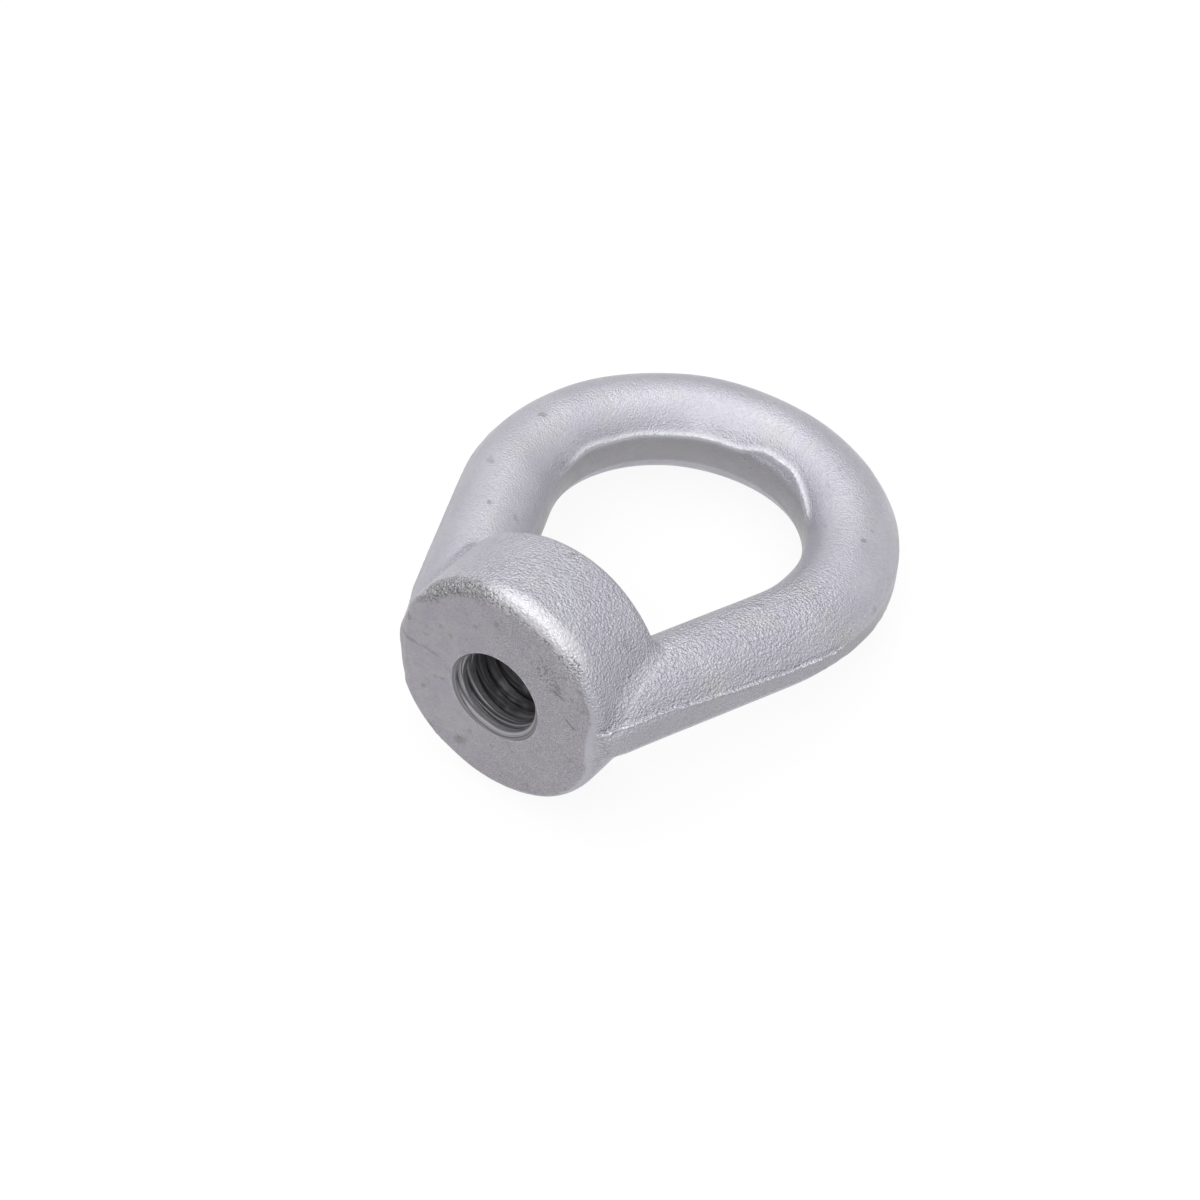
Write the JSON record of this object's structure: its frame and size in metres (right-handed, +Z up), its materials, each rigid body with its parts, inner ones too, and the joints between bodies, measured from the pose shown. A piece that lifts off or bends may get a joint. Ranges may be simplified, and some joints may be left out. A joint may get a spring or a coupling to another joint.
{
  "type": "lifting eye nut",
  "caption": "Forged, galvanised eye nut: a round boss with a threaded hole along its axis and an oval eye of round bar, lying on its side.",
  "frame": {"origin": "on the floor, below the middle of the part's bounding box, with the nut lying on its side at rest on the boss's rear edge and the underside of the eye's far end", "axes": "+Z up; +Y from the boss to the eye's far end, level with the floor; X across the eye. The thread's axis lies in the YZ plane and its mouth, at -Y, is tipped up by 10.67 degrees"},
  "size_m": [0.0714, 0.086, 0.0403],
  "materials": {
    "galvanised_steel": "hot-dip galvanised, matte, finely pebbled"
  },
  "bodies": {
    "root": {"eye_nut": "galvanised_steel"}
  },
  "joints": []
}
